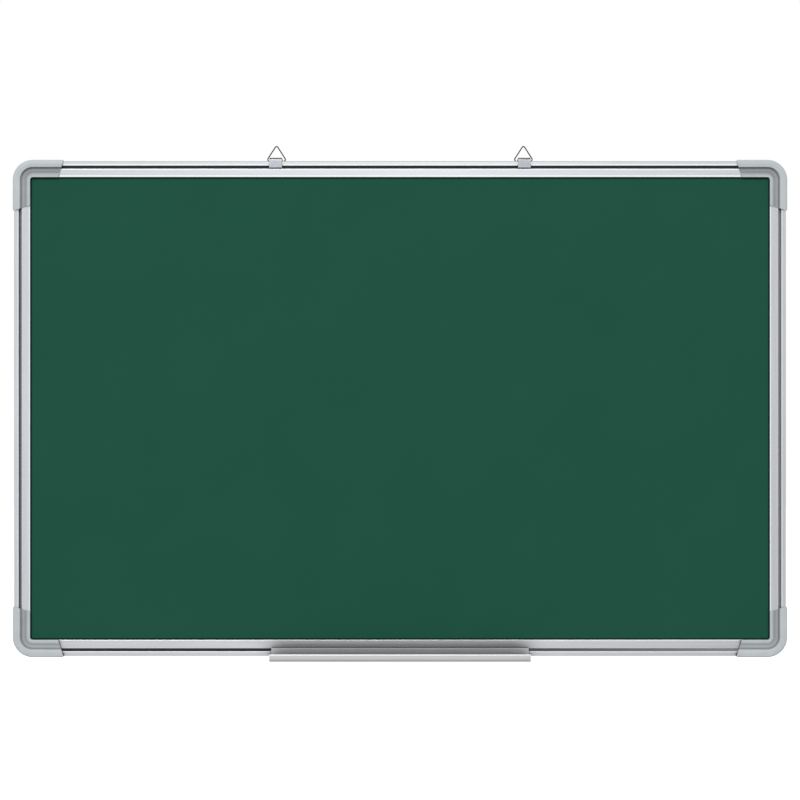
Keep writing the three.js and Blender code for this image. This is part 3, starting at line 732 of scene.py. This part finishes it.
# One wire, bent to a rounded triangle: two lower bends and the tip
def ringMesh():
    half, bend, tipAt, tipBend = ring["half"], ring["bend"], ring["tipAt"], ring["tipBend"]
    rise = tipAt - bend
    lean = math.atan2(rise, -half) - math.acos((bend - tipBend) / math.hypot(half, rise))
    side = math.sqrt(half ** 2 + rise ** 2 - (bend - tipBend) ** 2)
    run = Vector((-math.sin(lean), 0, math.cos(lean))) * side
    mesh = bmesh.new()
    bmesh.ops.create_circle(mesh, segments=ring["sides"], radius=ring["wire"])
    start = Matrix.Translation((ring["gap"] / 2, 0, 0)) @ Matrix.Rotation(math.pi / 2, 4, "Y")
    bmesh.ops.transform(mesh, matrix=start, verts=mesh.verts)
    first = mesh.edges[:]
    about = (0, -1, 0)
    loop = drawn(mesh, first, (half - ring["gap"] / 2, 0, 0))
    loop = turned(mesh, loop, (half, 0, bend), about, math.pi / 2 + lean, ring["bendSteps"])
    loop = drawn(mesh, loop, run)
    loop = turned(mesh, loop, (0, 0, tipAt), about, math.pi - 2 * lean, ring["tipSteps"])
    loop = drawn(mesh, loop, (run.x, 0, -run.z))
    loop = turned(mesh, loop, (-half, 0, bend), about, math.pi / 2 + lean, ring["bendSteps"])
    loop = drawn(mesh, loop, (half - ring["gap"] / 2, 0, 0))
    for ends in (first, loop):
        bmesh.ops.edgeloop_fill(mesh, edges=ends)
    return mesh


clipShape, ringShape = clipMesh(), ringMesh()
# The bends take a painted highlight and the arch painted shade
clipFinishes = {"sheet": zincSheet, "dark": zincArchShade, "pale": zincBendHighlight}
for side, way in (("left", -1), ("right", 1)):
    place = Matrix.Translation((way * clip["at"] * mm, 0, 0)) @ sidePlace["top"]
    piece = addPiece(f"bent_clip_{side}", clipShape, place, f"clip_{side}", [f"hanger_clip_{side}"],
                     clipFinishes, clipPaint, sharpAbove=clip["softAbove"])
    wall = piece.modifiers.new("wall", "SOLIDIFY")
    wall.thickness = clip["sheet"] * mm
    wall.offset = 0
    wall.use_even_offset = True
    soft = piece.modifiers.new("soft edges", "BEVEL")
    soft.width = clip["softEdge"] * mm
    soft.segments = 2
    soft.limit_method = "ANGLE"
    soft.angle_limit = math.radians(clip["softAbove"])
    keepFlat(piece)
    y, z = ring["base"]
    spot = placeOn((1, 0, 0), (0, 1, 0), (0, 0, 1), (way * (clip["at"] - ring["shift"]), y, z))
    addPiece(f"wire_ring_{side}", ringShape, spot, f"ring_{side}", [f"hanger_ring_{side}"],
             {"all over": darkWire})
print("hangers made")


tray = {
    "length": 300,
    "section": [
        [4.4, 11.0, 0.4], [7.6, 11.0, 0.4], [7.6, 15.1], [9.2, 15.1, 0.4], [9.2, 16.5, 0.4],
        [-0.8, 16.5, 2],
        [-0.8, 32.7], [0, 33.1, 0.4], [0, 33.9, 0.4], [-0.8, 34.3],
        [-0.8, 49.7], [0, 50.1, 0.4], [0, 50.9, 0.4], [-0.8, 51.3],
        [-0.8, 68.8, 2], [3.9, 68.8, 0.4], [4.4, 67.5, 0.4], [6.9, 67.5, 1.3], [6.9, 70.5, 1.3],
        [-2.1, 70.5, 4.4], [-2.1, 15.1, 1], [5.8, 15.1], [5.8, 12.9], [4.4, 12.9, 0.4],
    ],
    "endBreak": 0.3,
    "bead": (5.4, 68),       # the lip's top, with a painted highlight, lies above this u and in front of this v
}


def trayPaint(centre, normal):
    if abs(normal.z) > 0.9:
        return "sawn"
    return "bead" if centre.x > tray["bead"][0] and centre.y > tray["bead"][1] else "face"


trayShape = bar(tray["section"], -tray["length"] / 2, tray["length"] / 2)
# The edges of both sawn ends are broken all round
rims = [edge for edge in trayShape.edges if abs(edge.verts[0].co.z - edge.verts[1].co.z) < 1e-6]
bmesh.ops.bevel(trayShape, geom=rims, offset=tray["endBreak"], offset_type="OFFSET", affect="EDGES",
                segments=2, profile=0.5, material=-1, clamp_overlap=True)
# The lip's top takes a painted highlight
trayFinishes = {"face": trayFinish, "sawn": sawn, "bead": paintedHighlight["tray"]}
keepFlat(addPiece("extruded_tray", trayShape, sidePlace["bottom"], "tray", ["chalk_tray"],
                  trayFinishes, trayPaint))
print("tray made")


# Grey paper honeycomb board, seen only at its edge: fibrous and dull
cardboard = patterned("honeycomb board", {"Roughness": 0.9, "Specular IOR Level": 0.1},
                      ("#a88b61", "#c4a87c"), coarse=9, fine=0.8, bump=0.1)


# Galvanised steel sheet: zinc grown in flat flowers of about this many mm, each with its own brightness
def galvanisedFinish(flower=11):
    finish, tree, shader = newFinish("galvanised steel", {"Metallic": 0.85, "Roughness": 0.42})
    place = addNode(tree, "TexCoord")
    cells = addNode(tree, "TexVoronoi", {"Scale": 1 / (flower * mm)}, {"Vector": (place, "Object")})
    ramp = addNode(tree, "ValToRGB", None, {"Fac": (cells, "Color")})
    setStops(ramp, enumerate(("#9da1a3", "#b3b7b8")))
    tree.links.new(ramp.outputs[0], shader.inputs["Base Color"])
    return finish


for node, finish in (("writing_sheet", enamel), ("core_board", cardboard),
                     ("backing_sheet", galvanisedFinish())):
    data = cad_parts[node].data
    data.materials.clear()
    data.materials.append(finish)
print("panel finished")


light = {                    # places and sizes in metres, the power in watts
    "worldLevel": 0.5,       # what matt surfaces see of the white room
    "lampPlace": (-2.2, -11.0, 8.8),
    "lampSize": 6.8,
    "lampPower": 1294,
    "floorHeight": -1.25,
    "floorSize": 60,
    # Added for the eye alone, near the board and far from it, so that the floor runs out into the white
    "floorGlow": (0.45, 1),
    "glowFrom": 2,
    "glowTo": 7,
}


# One where a surface is seen directly or in a reflection, and nothing where it only gives light
def seenDirectly(tree):
    path = addNode(tree, "LightPath")
    seen = addNode(tree, "Math", None, {0: (path, "Is Camera Ray"), 1: (path, "Is Glossy Ray")},
                   operation="MAXIMUM")
    return addNode(tree, "Math", None, {0: (seen, 0), 1: (path, "Is Transmission Ray")},
                   operation="MAXIMUM")


world = bpy.data.worlds.new("white room")
bpy.context.scene.world = world
world.use_nodes = True
tree = world.node_tree
background = tree.nodes["Background"]
background.inputs["Color"].default_value = (1, 1, 1, 1)
level = addNode(tree, "Math", {1: 1 - light["worldLevel"], 2: light["worldLevel"]},
                {0: (seenDirectly(tree), 0)}, operation="MULTIPLY_ADD")
tree.links.new(level.outputs[0], background.inputs["Strength"])

lamp = bpy.data.lights.new("soft box", "AREA")
lamp.size = light["lampSize"]
lamp.energy = light["lampPower"]
lampObject = bpy.data.objects.new("soft box", lamp)
bpy.context.scene.collection.objects.link(lampObject)
lampObject.location = light["lampPlace"]
lampObject.rotation_euler = (-Vector(light["lampPlace"])).to_track_quat("-Z", "Y").to_euler()
lampObject.visible_camera = False

floorMesh = bmesh.new()
bmesh.ops.create_grid(floorMesh, x_segments=1, y_segments=1, size=light["floorSize"] / 2)
bmesh.ops.translate(floorMesh, verts=floorMesh.verts, vec=(0, 0, light["floorHeight"]))
floor = asObject(floorMesh, "studio_floor")
# White matt paint, rolled: a broad and very faint unevenness
matt = {"Roughness": 0.9, "Specular IOR Level": 0.1, "Emission Color": (1, 1, 1, 1)}
floorPaint = patterned("white studio floor", matt, ("#bcbcba", "#c0c0bf"), coarse=400, fine=3, bump=0.1)
tree = floorPaint.node_tree
away = addNode(tree, "VectorMath", None, {0: (addNode(tree, "TexCoord"), "Object")}, operation="LENGTH")
near, far = light["floorGlow"]
spans = {"From Min": light["glowFrom"], "From Max": light["glowTo"], "To Min": near, "To Max": far}
glow = addNode(tree, "MapRange", spans, {"Value": (away, "Value")})
shown = addNode(tree, "Math", None, {0: (glow, 0), 1: (seenDirectly(tree), 0)}, operation="MULTIPLY")
tree.links.new(shown.outputs[0], tree.nodes["Principled BSDF"].inputs["Emission Strength"])
floor.data.materials.append(floorPaint)

# Straight in front of the board, a little over its middle: the distance is from the rails' front
view = {"distance": 3280, "height": 9.9, "lens": 126.61, "sensor": 36, "sightTo": 50000}
camera = bpy.data.cameras.new("front view")
camera.lens = view["lens"]
camera.sensor_width = view["sensor"]
camera.clip_end = view["sightTo"] * mm
cameraObject = bpy.data.objects.new("front view", camera)
bpy.context.scene.collection.objects.link(cameraObject)
cameraObject.location = (0, -(view["distance"] + board["railFront"]) * mm, view["height"] * mm)
cameraObject.rotation_euler = (math.pi / 2, 0, 0)
bpy.context.scene.camera = cameraObject
bpy.context.scene.view_settings.view_transform = "Standard"
print("stage set")
